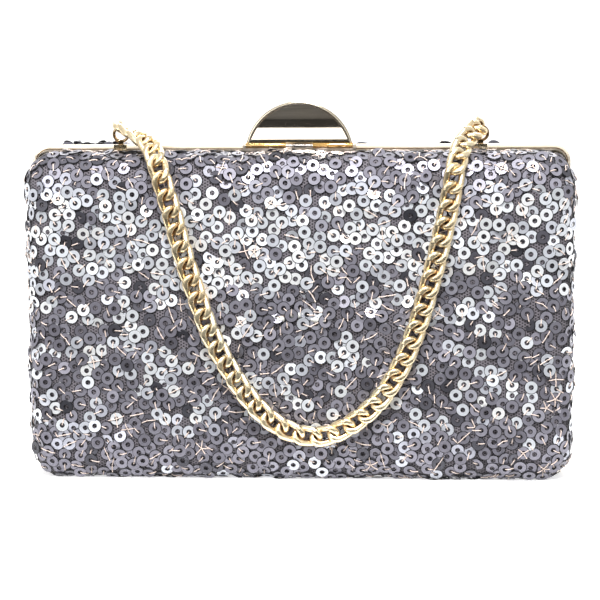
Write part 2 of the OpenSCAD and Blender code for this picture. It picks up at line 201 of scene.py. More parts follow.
def ring(y, half_w, low, top, r):
    """Evenly spaced points round a rounded rectangle, from the middle of its top."""
    outline = [(0.0, top)]
    corners = ((half_w - r, top - r, 90), (half_w - r, low + r, 0),
               (r - half_w, low + r, -90), (r - half_w, top - r, -180))
    for cx, cz, start in corners:
        for k in range(ARC_STEPS + 1):
            a = math.radians(start - 90 * k / ARC_STEPS)
            outline.append((cx + r * math.cos(a), cz + r * math.sin(a)))
    outline.append((0.0, top))
    outline = np.array(outline)
    run = np.concatenate([[0], np.cumsum(np.linalg.norm(np.diff(outline, axis=0), axis=1))])
    at = np.linspace(0, run[-1], RING_N, endpoint=False)
    x, z = np.interp(at, run, outline[:, 0]), np.interp(at, run, outline[:, 1])
    return np.column_stack([x, np.full(RING_N, y), z])


def loft(stations, steps):
    """A tray's surface as rows of points, from its mouth to its face."""
    return np.array([ring(*s) for s in spline(stations, steps)])


def loft_normals(grid):
    """Normals of a loft's grid, pointing out of the tray."""
    along = np.gradient(grid, axis=0)
    around = np.roll(grid, -1, 1) - np.roll(grid, 1, 1)
    normals = np.cross(along, around)
    return unit(normals)


def swell(p):
    """Gentle lumps of the wadding under the cover, in millimetres."""
    x, z = p[..., 0], p[..., 2]
    lumps = 0.3 * np.sin(x / 8.3 + 1.1) * np.cos(z / 7.1 + 0.4)
    lumps += 0.22 * np.sin((x + 1.7 * z) / 6.1) + 0.18 * np.cos((x - 0.8 * z) / 4.7 + 2.0)
    return lumps


def cup_mesh(outer, inner):
    """A closed cup between two lofts that both run from the mouth to the face."""
    verts = np.concatenate([outer.reshape(-1, 3), inner[::-1].reshape(-1, 3)])
    rows, n = len(outer) + len(inner), RING_N
    faces = []
    for i in list(range(len(outer) - 1)) + list(range(len(outer), rows - 1)) + [rows - 1]:
        j = (i + 1) % rows
        for k in range(n):
            m = (k + 1) % n
            faces.append((i * n + k, i * n + m, j * n + m, j * n + k))
    last = (len(outer) - 1) * n
    faces.append(tuple(last + k for k in range(n)))
    faces.append(tuple(last + n + k for k in reversed(range(n))))
    return verts, faces


def facing(points, rear):
    """The rear half is the front half's mirror image."""
    points = np.array(points, dtype=float)
    if rear:
        points[..., 1] *= -1
    return points


def flip_faces(faces, rear):
    """The mirror image turns faces inside out, so the rear half's are turned back."""
    return [tuple(reversed(f)) for f in faces] if rear else faces


# ---------- materials ----------

def node_material(name):
    """An empty node material with its Principled shader."""
    material = bpy.data.materials.new(name)
    material.use_nodes = True
    nodes = material.node_tree.nodes
    return material, nodes, material.node_tree.links, nodes["Principled BSDF"]


def ramp(nodes, stops):
    """A colour ramp from (position, colour) pairs."""
    node = nodes.new("ShaderNodeValToRGB")
    elements = node.color_ramp.elements
    elements[0].position, elements[0].color = stops[0][0], (*stops[0][1], 1)
    elements[1].position, elements[1].color = stops[-1][0], (*stops[-1][1], 1)
    for position, colour in stops[1:-1]:
        elements.new(position).color = (*colour, 1)
    return node


def tint(nodes, links, shader, source, stops):
    """Colours a material by a ramp over a 0 to 1 value."""
    colour = ramp(nodes, stops)
    links.new(source, colour.inputs["Fac"])
    links.new(colour.outputs["Color"], shader.inputs["Base Color"])


def masked(nodes, links, shader, mask, over):
    """Lays another colour over a material's own where a mask is 1."""
    mix = nodes.new("ShaderNodeMix")
    mix.data_type = "RGBA"
    mix.inputs[7].default_value = (*over, 1)
    links.new(mask, mix.inputs["Factor"])
    links.new(shader.inputs["Base Color"].links[0].from_socket, mix.inputs[6])
    links.new(mix.outputs[2], shader.inputs["Base Color"])


def stored(nodes, name):
    """A number stored for each point or face of a piece."""
    node = nodes.new("ShaderNodeAttribute")
    node.attribute_name = name
    return node.outputs["Fac"]


def maths(nodes, links, operation, *values):
    """The result of a math node. Each value is a number or another node's output."""
    node = nodes.new("ShaderNodeMath")
    node.operation = operation
    for socket, value in zip(node.inputs, values):
        if isinstance(value, float):
            socket.default_value = value
        else:
            links.new(value, socket)
    return node.outputs[0]


def value_range(nodes, links, source, low, high):
    """Maps a 0 to 1 value to low to high."""
    node = nodes.new("ShaderNodeMapRange")
    node.inputs["To Min"].default_value = low
    node.inputs["To Max"].default_value = high
    links.new(source, node.inputs["Value"])
    return node.outputs["Result"]


def noise(nodes, links, scale, detail=3.0, stretch=(1, 1, 1)):
    """Noise in object coordinates. The scale is in lumps per metre."""
    coords = nodes.new("ShaderNodeTexCoord")
    mapping = nodes.new("ShaderNodeMapping")
    mapping.inputs["Scale"].default_value = stretch
    texture = nodes.new("ShaderNodeTexNoise")
    texture.inputs["Scale"].default_value = scale
    texture.inputs["Detail"].default_value = detail
    links.new(coords.outputs["Object"], mapping.inputs["Vector"])
    links.new(mapping.outputs["Vector"], texture.inputs["Vector"])
    return texture.outputs["Fac"]


def bump(nodes, links, height, distance, strength=1.0):
    """Normals from a height. The distance is in metres."""
    node = nodes.new("ShaderNodeBump")
    node.inputs["Distance"].default_value = distance
    node.inputs["Strength"].default_value = strength
    links.new(height, node.inputs["Height"])
    return node.outputs["Normal"]


DRIFT_SCALE = 60          # lumps per metre in the plating's colour
SCRATCH_SCALE = 900
SCRATCH_DEPTH = 0.00002   # metres


def metal(name, dark, light, rough, scratch_stretch=(1, 1, 1), scratch=0.15):
    """Plated metal: the plating's colour drifts a little and fine scratches vary the gloss."""
    material, nodes, links, shader = node_material(name)
    tint(nodes, links, shader, noise(nodes, links, DRIFT_SCALE, 2), [(0.3, dark), (0.7, light)])
    shader.inputs["Metallic"].default_value = 1.0
    grain = noise(nodes, links, SCRATCH_SCALE, 4, scratch_stretch)
    links.new(value_range(nodes, links, grain, rough * 0.6, rough * 1.5), shader.inputs["Roughness"])
    links.new(bump(nodes, links, grain, SCRATCH_DEPTH, scratch), shader.inputs["Normal"])
    return material


def darkened(material, mask_of, dark):
    """Darkens a metal where a mask is 1: painted shade."""
    nodes, links = material.node_tree.nodes, material.node_tree.links
    masked(nodes, links, nodes["Principled BSDF"], mask_of(nodes, links), dark)
    return material


def inner_side_painted_shade(nodes, links):
    """The side of each chain link's wire that faces the middle of the link, where shade is painted on."""
    return stored(nodes, "inner")


GROOVE_IN = 1.15          # from the frame's outer edge to the middle of its painted groove line
GROOVE_W = 0.36


def rail_groove_painted_shade(nodes, links):
    """A fine dark line along the frame's outline just inside its outer edge: the shade of a groove, painted
    on as colour.
    """
    last = nodes.new("ShaderNodeTexCoord").outputs["Object"]
    middle, half_h = (FRAME_TOP + FRAME_LOW) / 2, (FRAME_TOP - FRAME_LOW) / 2
    steps = (("SUBTRACT", (0, 0, middle)), ("ABSOLUTE", None),
             ("SUBTRACT", (HALF_W - CORNER_R, 1 / MM, half_h - CORNER_R)), ("MAXIMUM", (0, 0, 0)))
    for operation, amount in steps:
        step = nodes.new("ShaderNodeVectorMath")
        step.operation = operation
        links.new(last, step.inputs[0])
        if amount:
            step.inputs[1].default_value = [v * MM for v in amount]
        last = step.outputs["Vector"]
    length = nodes.new("ShaderNodeVectorMath")
    length.operation = "LENGTH"
    links.new(last, length.inputs[0])
    return maths(nodes, links, "COMPARE", length.outputs["Value"],
                 (CORNER_R - GROOVE_IN) * MM, GROOVE_W / 2 * MM)


HOLE_PITCH = 0.0011       # metres between two holes of the tulle


def hex_holes(nodes, links, first, second):
    """A hexagonal lattice of round holes over two coordinates: three cosines added."""
    wave = 4 * math.pi / (math.sqrt(3) * HOLE_PITCH)
    waves = []
    for turn in (0, 120, 240):
        slope = math.radians(turn)
        phase = maths(nodes, links, "MULTIPLY", first, wave * math.cos(slope))
        phase = maths(nodes, links, "MULTIPLY_ADD", second, wave * math.sin(slope), phase)
        waves.append(maths(nodes, links, "COSINE", phase))
    return maths(nodes, links, "ADD", maths(nodes, links, "ADD", waves[0], waves[1]), waves[2])


MOSTLY = 0.62             # how far along an axis a normal points where the surface faces that way


def facing_mask(nodes, links, component):
    """1 where the surface faces mostly along one axis."""
    return maths(nodes, links, "GREATER_THAN", maths(nodes, links, "ABSOLUTE", component), MOSTLY)


def pick(nodes, links, mask, no, yes):
    """One value where the mask is 0 and another where it is 1."""
    mix = nodes.new("ShaderNodeMix")
    links.new(mask, mix.inputs["Factor"])
    links.new(no, mix.inputs[2])
    links.new(yes, mix.inputs[3])
    return mix.outputs[0]


def tulle_material():
    """Grey tulle with hexagonal holes painted near black, on every side of the tray. Its grey is darkened,
    partly as painted shade in the gaps between the sequins.
    """
    material, nodes, links, shader = node_material("tulle")
    coords = nodes.new("ShaderNodeTexCoord")
    place = nodes.new("ShaderNodeSeparateXYZ")
    links.new(coords.outputs["Object"], place.inputs[0])
    faces = nodes.new("ShaderNodeSeparateXYZ")
    links.new(coords.outputs["Normal"], faces.inputs[0])
    x, y, z = place.outputs
    front = hex_holes(nodes, links, x, z)
    side = hex_holes(nodes, links, y, z)
    top = hex_holes(nodes, links, x, y)
    holes = pick(nodes, links, facing_mask(nodes, links, faces.outputs[0]), top, side)
    holes = pick(nodes, links, facing_mask(nodes, links, faces.outputs[1]), holes, front)
    unit_holes = nodes.new("ShaderNodeMapRange")
    unit_holes.inputs["From Min"].default_value = -1.5
    unit_holes.inputs["From Max"].default_value = 3.0
    links.new(holes, unit_holes.inputs["Value"])
    # The threads' grey is partly their own and partly painted shade; the holes are painted near black.
    tint(nodes, links, shader, unit_holes.outputs["Result"],
         [(0.0, (0.15, 0.135, 0.155)), (0.36, (0.13, 0.115, 0.135)), (0.5, (0.015, 0.013, 0.017))])
    shader.inputs["Roughness"].default_value = 0.75
    shader.inputs["Sheen Weight"].default_value = 0.25
    flat = nodes.new("ShaderNodeInvert")
    links.new(unit_holes.outputs["Result"], flat.inputs["Color"])
    links.new(bump(nodes, links, flat.outputs["Color"], 0.0002, 0.8), shader.inputs["Normal"])
    return material


def sequin_material():
    """Silver-grey foil with faint clouding. Each sequin's stored lightness is partly its own and partly
    painted reflection and painted shade, and its sloped edge is painted dark as shade.
    """
    material, nodes, links, shader = node_material("sequin_foil")
    tint(nodes, links, shader, stored(nodes, "tone_and_painted_light"),
         [(0.0, (0.045, 0.045, 0.055)), (0.2, (0.2, 0.192, 0.23)), (0.5, (0.32, 0.31, 0.365)),
          (0.62, (0.48, 0.49, 0.56)), (0.8, (0.8, 0.83, 0.88)), (1.0, (1.0, 1.0, 1.0))])
    # The sloped edges are painted near black: painted shade that outlines each sequin.
    masked(nodes, links, shader, stored(nodes, "rim"), (0.012, 0.012, 0.015))
    shader.inputs["Metallic"].default_value = 0.5
    cloud = noise(nodes, links, 500, 2)
    links.new(value_range(nodes, links, cloud, 0.25, 0.42), shader.inputs["Roughness"])
    return material


def thread_material():
    """Cream-pink sewing thread with its twist."""
    material, nodes, links, shader = node_material("sewing_thread")
    twist = noise(nodes, links, 2500, 2)
    tint(nodes, links, shader, twist, [(0.3, (0.72, 0.56, 0.48)), (0.7, (1.0, 0.86, 0.78))])
    shader.inputs["Roughness"].default_value = 0.55
    shader.inputs["Sheen Weight"].default_value = 0.3
    links.new(bump(nodes, links, twist, 0.0001, 0.6), shader.inputs["Normal"])
    return material


def satin_material():
    """Grey satin: fine weft lines, soft gloss."""
    material, nodes, links, shader = node_material("satin")
    weave = noise(nodes, links, 1600, 2, (1, 1, 0.15))
    tint(nodes, links, shader, weave, [(0.3, (0.2, 0.19, 0.215)), (0.7, (0.29, 0.28, 0.31))])
    links.new(value_range(nodes, links, weave, 0.32, 0.5), shader.inputs["Roughness"])
    shader.inputs["Sheen Weight"].default_value = 0.4
    links.new(bump(nodes, links, weave, 0.0001, 0.4), shader.inputs["Normal"])
    return material


def board_material():
    """The moulded shell's dull dark plastic."""
    material, nodes, links, shader = node_material("moulded_board")
    grain = noise(nodes, links, 800, 3)
    tint(nodes, links, shader, grain, [(0.3, (0.02, 0.02, 0.022)), (0.7, (0.035, 0.035, 0.038))])
    links.new(value_range(nodes, links, grain, 0.5, 0.7), shader.inputs["Roughness"])
    links.new(bump(nodes, links, grain, 0.0001, 0.3), shader.inputs["Normal"])
    return material


def foam_material():
    """Off-white foam wadding."""
    material, nodes, links, shader = node_material("foam")
    cells = noise(nodes, links, 1500, 3)
    tint(nodes, links, shader, cells, [(0.3, (0.6, 0.6, 0.57)), (0.7, (0.8, 0.8, 0.77))])
    shader.inputs["Roughness"].default_value = 0.95
    links.new(bump(nodes, links, cells, 0.0003, 0.6), shader.inputs["Normal"])
    return material


CHAMPAGNE = metal("champagne_plating", (0.88, 0.76, 0.58), (0.97, 0.87, 0.72), 0.34, (0.1, 1, 1))
# The rails carry a painted dark line of shade, in place of a groove.
RAIL = darkened(metal("rail_plating", (0.86, 0.74, 0.56), (0.95, 0.85, 0.7), 0.34, (0.1, 1, 1)),
                rail_groove_painted_shade, (0.26, 0.15, 0.07))
MIRROR = metal("champagne_mirror", (0.86, 0.75, 0.6), (0.93, 0.84, 0.72), 0.05, (0.05, 1, 1), 0.1)
GOLD = metal("gold_plating", (0.92, 0.72, 0.42), (1.0, 0.87, 0.6), 0.14)
# The chain's gold has painted shade on the inner side of each link's wire, between the links.
CHAIN_GOLD = darkened(metal("chain_plating", (1.0, 0.78, 0.47), (1.0, 0.89, 0.63), 0.28),
                      inner_side_painted_shade, (0.24, 0.12, 0.045))
# Painted on the half-moon: the barrel's orange-gold is painted reflection, and the bead's darker plating is
# painted shade.
BARREL = metal("barrel_painted_reflection", (0.85, 0.5, 0.16), (0.95, 0.66, 0.3), 0.15)
BEAD = metal("bead_plating_painted_darker", (0.5, 0.44, 0.34), (0.64, 0.57, 0.45), 0.22)
# The ring and its foot take a dark copy of the plating: a painted reflection of dark surroundings.
RING_PAINTED_DARK = metal("loop_plating_painted_dark", (0.3, 0.2, 0.11), (0.5, 0.36, 0.2), 0.12)
HINGE = metal("hinge_plating", (0.6, 0.44, 0.24), (0.78, 0.6, 0.36), 0.3)
STEEL = metal("pin_wire", (0.42, 0.4, 0.38), (0.6, 0.58, 0.55), 0.25, (0.1, 1, 1))
TULLE = tulle_material()
FOIL = sequin_material()
THREAD = thread_material()
SATIN = satin_material()
BOARD = board_material()
FOAM = foam_material()


# ---------- camera ----------

CAMERA_ELEVATION = 8.0
CAMERA_AZIMUTH = 3.6
CAMERA_ROLL = -0.4
CAMERA_TARGET = Vector((0.0007, -0.020, 0.0672))
CAMERA_DISTANCE = 0.745
LENS = 121.6


def make_camera():
    """Slightly above the bag and a little to its right, with a long lens."""
    data = bpy.data.cameras.new("camera")
    data.lens = LENS
    data.clip_start, data.clip_end = 0.01, 20
    camera = bpy.data.objects.new("camera", data)
    bpy.context.scene.collection.objects.link(camera)
    a, e, roll = (math.radians(v) for v in (CAMERA_AZIMUTH, CAMERA_ELEVATION, CAMERA_ROLL))
    back = Vector((math.sin(a) * math.cos(e), -math.cos(a) * math.cos(e), math.sin(e)))
    camera.location = CAMERA_TARGET + back * CAMERA_DISTANCE
    turn = Matrix.Rotation(a, 3, "Z") @ Matrix.Rotation(math.pi / 2 - e, 3, "X")
    camera.rotation_euler = (turn @ Matrix.Rotation(roll, 3, "Z")).to_euler()
    bpy.context.scene.camera = camera


make_camera()


# ---------- chain ----------

LINK_LEN = 11.6
LINK_W = 7.7
WIRE = 2.4                # thickness of the links' wire
SLACK = 0.2               # play between one link and the next
LOOP_WIRE = 0.5           # half the thickness of the wire that the end links hang on
END_TWIST = 48.0          # degrees that a link turns from its middle to its end
PRESSED = 1.9             # half the thickness that the links are pressed flat to
PRESSED_LEFT = 0.12       # how much of the height above that is left
INNER_FROM, INNER_SPAN = 0.5, 0.4      # how far inwards the wire faces where its painted shade starts
LINK_AROUND, LINK_SIDES = 44, 14
FLAT_Y, LEAN_OVER = -28, 24            # the chain lies on its side in front of FLAT_Y and turns up behind it
TURNED_LINKS = 4                       # links at each end that turn to hang on their loop
CURVE_STEPS = 6
ROUTE = [
    [-67, -2.65, 129.9], [-65.3, -8, 129.3], [-60.5, -13, 127.7], [-56, -17.5, 125.6],
    [-52.8, -22, 122.8], [-51, -26, 119.2], [-49.5, -28.3, 115.5], [-47.5, -29, 108.5],
    [-45, -29, 100], [-42.5, -29, 90], [-39.5, -29, 79.5], [-36, -29, 68.5],
    [-32.2, -29, 57.5], [-28.7, -29, 50], [-24.5, -29, 42.5], [-19.8, -29, 35],
    [-13.9, -28.9, 27.7], [-7, -28.8, 22], [0.5, -28.7, 18.7], [8.5, -28.7, 18],
    [16, -28.8, 20.4], [23.3, -28.9, 25.2], [30, -29, 31.7], [35, -29, 39],
    [39, -29, 46.7], [42.4, -29, 55], [45, -29, 62.5], [47.3, -29, 70.5],
    [50.5, -29, 82.5], [53, -29, 93], [55, -29, 102], [56.5, -29, 110],
    [57.3, -28.3, 115], [58.3, -26, 119], [59.5, -22, 122.6], [61.3, -17.5, 125.6],
    [63.8, -13, 127.9], [65.6, -8, 129.4], [67, -2.65, 129.9],
]
CURVE = spline(ROUTE, CURVE_STEPS)
CURVE_RUN = np.concatenate([[0], np.cumsum(np.linalg.norm(np.diff(CURVE, axis=0), axis=1))])
ROUTE_LEN = CURVE_RUN[-1]
FIRST_LINK = LINK_LEN / 2 - (WIRE + LOOP_WIRE + SLACK / 2)
LINK_PITCH = LINK_LEN - 2 * WIRE - SLACK
LINK_N = 1 + 2 * math.ceil((ROUTE_LEN - 2 * FIRST_LINK) / LINK_PITCH / 2)
PITCH = (ROUTE_LEN - 2 * FIRST_LINK) / (LINK_N - 1)


def along(s):
    """The point on the chain's curve at a distance from its left end."""
    return np.array([np.interp(s, CURVE_RUN, CURVE[:, k]) for k in range(3)])


def link_shape():
    """One curb link: a round wire bent to a long oval, twisted and pressed flat.

    The third result says how far each point is on the side that faces the middle of the link, which is where
    shade is painted on."""
    r, straight = (LINK_W - WIRE) / 2, (LINK_LEN - LINK_W) / 2
    total = 2 * math.pi * r + 4 * straight
    path = []
    for k in range(LINK_AROUND):
        s = total * k / LINK_AROUND
        if s < 2 * straight:
            x, y = straight - s, r
        elif s < 2 * straight + math.pi * r:
            a = math.pi / 2 + (s - 2 * straight) / r
            x, y = -straight + r * math.cos(a), r * math.sin(a)
        elif s < 4 * straight + math.pi * r:
            x, y = -straight + (s - 2 * straight - math.pi * r), -r
        else:
            a = -math.pi / 2 + (s - 4 * straight - math.pi * r) / r
            x, y = straight + r * math.cos(a), r * math.sin(a)
        turn = math.radians(END_TWIST) * x / (LINK_LEN / 2)
        path.append((x, y * math.cos(turn), y * math.sin(turn)))
    verts, faces = tube(path, WIRE / 2, LINK_SIDES, closed=True)
    verts = np.array(verts)
    wire_mid = np.repeat(np.array(path), LINK_SIDES, axis=0)
    link_mid = wire_mid * [1, 0, 0]
    link_mid[:, 0] = np.clip(link_mid[:, 0], -straight, straight)
    inwards = link_mid - wire_mid
    inwards /= np.linalg.norm(inwards, axis=1)[:, None]
    facing_in = ((verts - wire_mid) * inwards).sum(axis=1) / (WIRE / 2)
    height = np.abs(verts[:, 2])
    over = height > PRESSED
    verts[over, 2] = np.sign(verts[over, 2]) * (PRESSED + PRESSED_LEFT * (height[over] - PRESSED))
    return verts, faces, np.clip((facing_in - INNER_FROM) / INNER_SPAN, 0, 1)


def link_frame(i):
    """Where link i sits, and its axes: along the chain, across it, and out from the bag."""
    s = FIRST_LINK + i * PITCH
    p = along(s)
    t = unit(along(s + 1) - along(s - 1))
    lean = math.radians(90 * clamp((p[1] - FLAT_Y) / LEAN_OVER, 0, 1))
    n = np.array([0, -math.cos(lean), math.sin(lean)])
    n = unit(n - (n @ t) * t)
    b = np.cross(n, t)
    left = i < LINK_N / 2
    ends = min(i, LINK_N - 1 - i)
    roll = math.radians((-1 if left else 1) * (90 - END_TWIST) * max(0, 1 - ends / TURNED_LINKS))
    across = math.cos(roll) * b + math.sin(roll) * n
    out = math.cos(roll) * n - math.sin(roll) * b
    return p, np.column_stack([t, across, out])


def make_chain():
    """Every link of the chain, as one piece."""
    shape, shape_faces, facing_in = link_shape()
    parts = []
    for i in range(LINK_N):
        place, axes = link_frame(i)
        parts.append((list(shape @ axes.T + place), shape_faces))
    verts, faces = join(parts)
    chain = mesh_piece("curb_chain", verts, faces, CHAIN_GOLD)
    # The mask of painted shade on the links' inner sides.
    add_attribute(chain, "inner", "POINT", np.tile(facing_in, LINK_N))
    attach(chain, "chain")
    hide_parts("chain_links", "chain_end_link_left", "chain_end_link_right")


make_chain()


# ---------- trays ----------

LOFT_STEPS = 6
FLAT_ROWS = 13            # the last rows of the loft close the flat middle of the face
HALVES = (("front", "front_half", False), ("rear", "rear_half", True))
TABLE_GAP = 0.05          # nothing on the underside comes lower than this
SATIN_T = 0.5


def cover_surface():
    """The cover's outside, with the wadding's lumps under it, and its normals."""
    grid = loft(COVER_STATIONS, LOFT_STEPS)
    normals = loft_normals(grid)
    free = np.clip((RAIL_Y - grid[..., 1]) / 4, 0, 1) * np.clip(normals[..., 2] + 1.6, 0, 1)
    grid = grid + normals * (swell(grid) * free)[..., None]
    return grid, loft_normals(grid)


COVER, COVER_NORMALS = cover_surface()


def make_cover(half, body, rear):
    """The tulle cover: a cup whose mouth is cut square."""
    inner = COVER - COVER_NORMALS * COVER_T
    inner[0] = COVER[0] - COVER_NORMALS[0] * [COVER_T, 0, COVER_T]
    verts, faces = cup_mesh(COVER, inner)
    cover = mesh_piece(half + "_tulle", facing(verts, rear), flip_faces(faces, rear), TULLE)
    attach(cover, body)
    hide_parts(half + "_cover")


def make_padding(half, body, rear):
    """Foam between the shell and the cover, closed on both sides."""
    gap = GLUE * 2
    outer = COVER - COVER_NORMALS * (COVER_T + gap)
    shell = [[y, half_w + gap, low - gap, top + gap, r] for y, half_w, low, top, r in SHELL_STATIONS]
    shell[0][0] = COVER_STATIONS[0][0]
    shell[-1][0] = SHELL_FACE - gap
    inner = loft(shell, LOFT_STEPS)
    verts, faces = cup_mesh(outer, inner)
    padding = mesh_piece(half + "_wadding", facing(verts, rear), flip_faces(faces, rear), FOAM)
    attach(padding, body)
    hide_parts(half + "_padding")


def gather(p):
    """Soft drapes of the lining where it is tucked into the tray, in millimetres."""
    x, y, z = p[..., 0], p[..., 1], p[..., 2]
    folds = 0.5 + 0.5 * np.sin(x / 3.1 + 0.9 * np.sin(z / 9)) * np.cos(z / 4.3 + 0.7 * np.sin(x / 11))
    return 0.55 * folds * np.clip((RAIL_Y - y) / 5, 0, 1)


def make_lining(half, body, rear):
    """Satin glued into the shell, lying in small soft folds."""
    inset = SHELL_T + GLUE
    outer_stations = [[y, half_w - inset, low + inset, top - inset, max(r - SHELL_T, 2)]
                      for y, half_w, low, top, r in SHELL_STATIONS]
    for station in outer_stations[2:]:
        station[0] += inset
    outer = loft(outer_stations, LOFT_STEPS)
    normals = loft_normals(outer)
    inner = outer - normals * (SATIN_T + gather(outer))[..., None]
    inner[0, :, 1] = outer[0, :, 1]
    verts, faces = cup_mesh(outer, inner)
    lining = mesh_piece(half + "_satin", facing(verts, rear), flip_faces(faces, rear), SATIN)
    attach(lining, body)
    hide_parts(half + "_lining")


for half_args in HALVES:
    make_cover(*half_args)
    make_padding(*half_args)
    make_lining(*half_args)


# ---------- sequins ----------

SEQUIN_R = 2.6
HOLE_R = 0.8
SEQUIN_T = 0.24
BEVEL = 0.27              # the punched edge slopes in by this much
SEQUIN_SIDES = 16
SPACING = 3.35            # least distance between two sequins' middles
THROWS = 9                # tries for each patch of one spacing squared
LAYER = 0.26              # one sequin lies this much above the one under it
MOUTH_CLEAR = 2.7         # from the metal band to the first sequins' middles

# Tones run from 0, black, to 1, white, and are partly painted reflection and painted shade. Heights are
# above the table.
WHITE, SILVER, PALE_GREY = (0.88, 1.0), (0.68, 0.86), (0.52, 0.64)
GREY, BLACK = (0.2, 0.5), (0.0, 0.12)
GLINT_BAND_Z, GLINT_BAND_H = 91, 17            # the band of painted glints, where most light sequins lie
# Painted shade: fewer light sequins near the table and near the top.
FEWER_GLINTS_BELOW, FEWER_GLINTS_ABOVE, FEWEST_GLINTS = 4, 119, 0.25
# Painted shade: sequins painted darker near the table and near the top.
SHADE_PAINTED_BELOW, SHADE_PAINTED_ABOVE, SHADE_PAINTED_FADE = 16, 104, 40


def surface_point(grid, normals, row, col, u, v):
    """The point and the normal inside one cell of a grid."""
    nxt = (col + 1) % RING_N
    weights = ((1 - u) * (1 - v), (1 - u) * v, u * (1 - v), u * v)
    corners = ((row, col), (row, nxt), (row + 1, col), (row + 1, nxt))
    point = sum(w * grid[c] for w, c in zip(weights, corners))
    normal = sum(w * normals[c] for w, c in zip(weights, corners))
    if row > len(grid) - FLAT_ROWS:
        point[1] = min(point[1], -HALF_DEPTH)
        normal = np.array([0.0, -1.0, 0.0])
    return point, unit(normal)


def neighbours(cells, point, size):
    """The cell that a point lies in, and what is already in it and in the cells round it."""
    i, j, k = (int(c // size) for c in point)
    near = (cells.get((i + di, j + dj, k + dk), ())
            for di in (-1, 0, 1) for dj in (-1, 0, 1) for dk in (-1, 0, 1))
    return (i, j, k), [item for group in near for item in group]


def scatter(grid, normals, rng):
    """Sequin middles thrown at random over the tray, none nearer to another than the spacing."""
    cell_edges = np.linalg.norm(grid[1:] - grid[:-1], axis=-1)
    cell_widths = np.linalg.norm(np.roll(grid, -1, 1) - grid, axis=-1)[:-1]
    areas = (cell_edges * cell_widths).ravel()
    rows_n = len(grid) - 1
    throws = int(areas.sum() / SPACING ** 2 * THROWS)
    cells = rng.choices(range(rows_n * RING_N), weights=areas.tolist(), k=throws)
    taken = {}
    places = []
    for cell in cells:
        row, col = divmod(cell, RING_N)
        point, normal = surface_point(grid, normals, row, col, rng.random(), rng.random())
        if point[1] > RAIL_Y - MOUTH_CLEAR:
            continue
        key, near = neighbours(taken, point, SPACING)
        if any(np.dot(point - q, point - q) < SPACING ** 2 for q in near):
            continue
        taken.setdefault(key, []).append(point)
        places.append((point, normal))
    return places


def pile(places):
    """The layer of each sequin: the lowest one that none of its neighbours has."""
    reach = 2 * SEQUIN_R
    buckets = {}
    layers = []
    for index, (point, _) in enumerate(places):
        key, near = neighbours(buckets, point, reach)
        used = {layers[other] for other in near if np.linalg.norm(places[other][0] - point) < reach}
        layer = 0
        while layer in used:
            layer += 1
        layers.append(layer)
        buckets.setdefault(key, []).append(index)
    return layers


def tone_and_painted_light_of(point, rng):
    """How light a sequin is painted, from 0 to 1: partly its own lightness, partly painted reflection. Light
    ones lie in clusters, most in a band of painted glints high up, and painted shade leaves few near the
    table and the top.
    """
    x, _, z = point
    high = math.exp(-((z - GLINT_BAND_Z) / GLINT_BAND_H) ** 2)
    cluster = mathutils.noise.noise(Vector((x / 8, z / 6, 0.5)))
    cluster += 0.6 * mathutils.noise.noise(Vector((x / 21, z / 15, 3.5)))
    chance = clamp(0.24 + high + 1.4 * (cluster - 0.03), 0.06, 0.95)
    edge = clamp((z - FEWER_GLINTS_BELOW) / 15, FEWEST_GLINTS, 1) * clamp((FEWER_GLINTS_ABOVE - z) / 11, FEWEST_GLINTS, 1)
    chance *= edge
    draw = rng.random()
    if draw < chance * (0.22 + 0.2 * high):
        return rng.uniform(*WHITE)
    if draw < chance:
        return rng.uniform(*SILVER)
    if draw < chance + 0.06:
        return rng.uniform(*BLACK)
    if draw < chance + 0.08 + 0.2 * high:
        return rng.uniform(*PALE_GREY)
    return rng.uniform(*GREY)


def painted_shade_at(point, normal):
    """Painted shade: the sequins are painted darker near the table, near the top, and where they face up."""
    low = clamp(0.75 + (point[2] - SHADE_PAINTED_BELOW) / SHADE_PAINTED_FADE, 0.75, 1)
    high = clamp(1 - (point[2] - SHADE_PAINTED_ABOVE) / SHADE_PAINTED_FADE, 0.8, 1)
    return low * high * (1 - 0.55 * max(normal[2], 0))


def plane_of(normal):
    """Two directions across a normal."""
    first = unit(np.cross(normal, [0.3, 0.2, 1.0]))
    return first, np.cross(normal, first)


def sequin_axes(normal, rng, standing=False):
    """A sequin's plane: nearly along the cover, now and then tipped up. Angles are in degrees."""
    tip = rng.uniform(10, 26) if rng.random() < 0.1 else abs(rng.gauss(0, 5))
    if standing:
        tip = rng.uniform(25, 48)
    turn = rng.uniform(0, 2 * math.pi)
    first, second = plane_of(normal)
    lean = math.cos(turn) * first + math.sin(turn) * second
    tipped = unit(normal + math.tan(math.radians(tip)) * lean)
    return *plane_of(tipped), tipped


